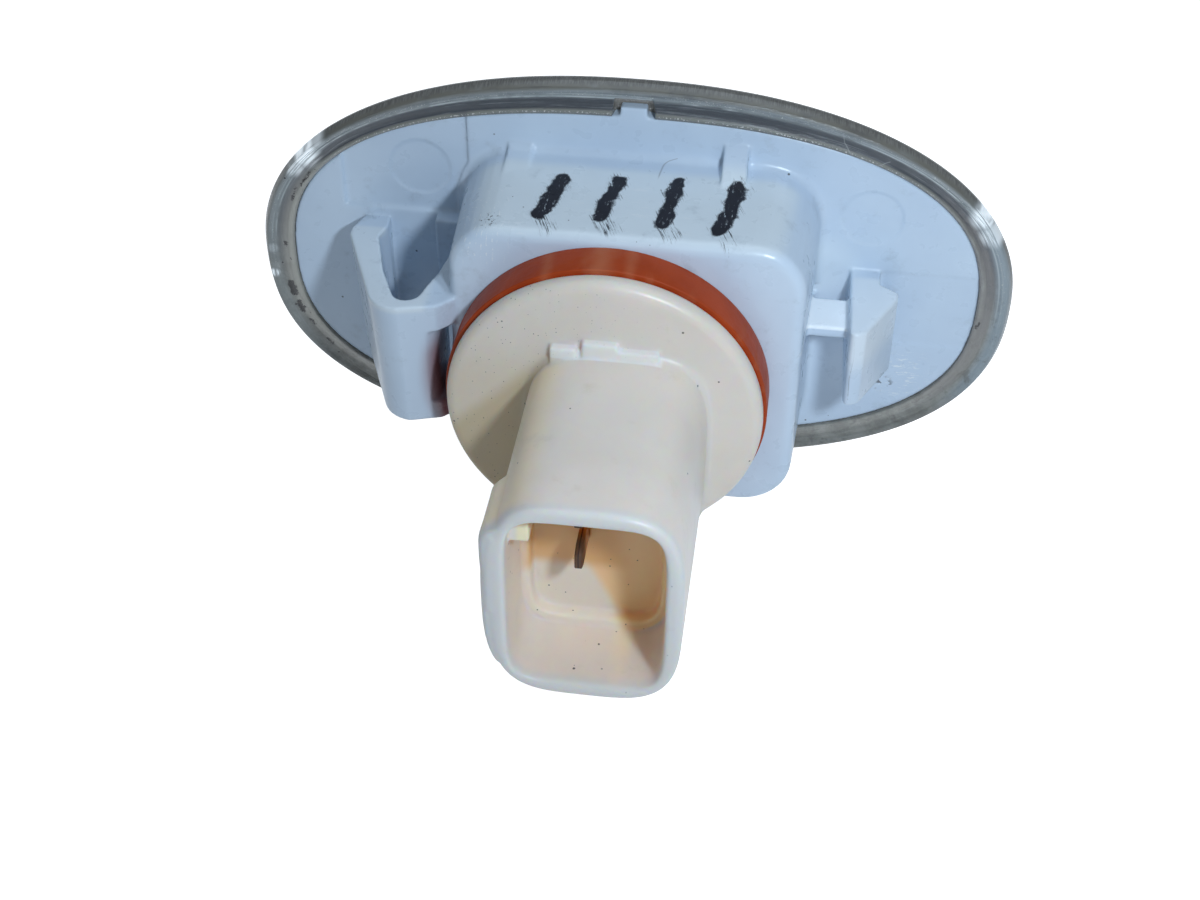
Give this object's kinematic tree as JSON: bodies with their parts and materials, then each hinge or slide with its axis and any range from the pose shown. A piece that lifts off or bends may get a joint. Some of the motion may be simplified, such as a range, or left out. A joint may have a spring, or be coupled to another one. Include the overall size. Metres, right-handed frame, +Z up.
{
  "type": "side repeater lamp",
  "caption": "Oval clear-lens indicator lamp for a car's wing, with a side clip, a twist-lock bulb holder and a plug socket behind.",
  "frame": {"origin": "middle of the oval rim, in the plane of the rim's rear face that seats on the body panel", "axes": "+Y out of the car through the lens, -Y back to the plug socket, +X along the lens, to the right when seen from behind, +Z up"},
  "size_m": [0.0706, 0.0448, 0.0408],
  "materials": {
    "clear_lens": "clear moulded acrylic, gloss",
    "white_plastic": "moulded, slightly glossy",
    "orange_rubber": "moulded silicone, satin",
    "cream_plastic": "moulded, satin",
    "copper_alloy": "stamped strip, tarnished",
    "amber_glass": "amber glass",
    "bulb_wire": "drawn wire"
  },
  "bodies": {
    "lamp": {"lens": "clear_lens", "housing": "white_plastic"},
    "holder": {"holder_gasket": "orange_rubber", "bulb_holder": "cream_plastic", "terminal_upper": "copper_alloy", "terminal_lower": "copper_alloy", "bulb_glass": "amber_glass", "bulb_filament": "bulb_wire", "bulb_lead_left": "bulb_wire", "bulb_lead_right": "bulb_wire"}
  },
  "joints": [
    {"name": "holder_twist", "type": "hinge", "parent": "lamp", "child": "holder", "pos_m": [-0.0003, -0.012, -0.0025], "axis": [0, -1, 0], "range_deg": [0, 45]}
  ]
}
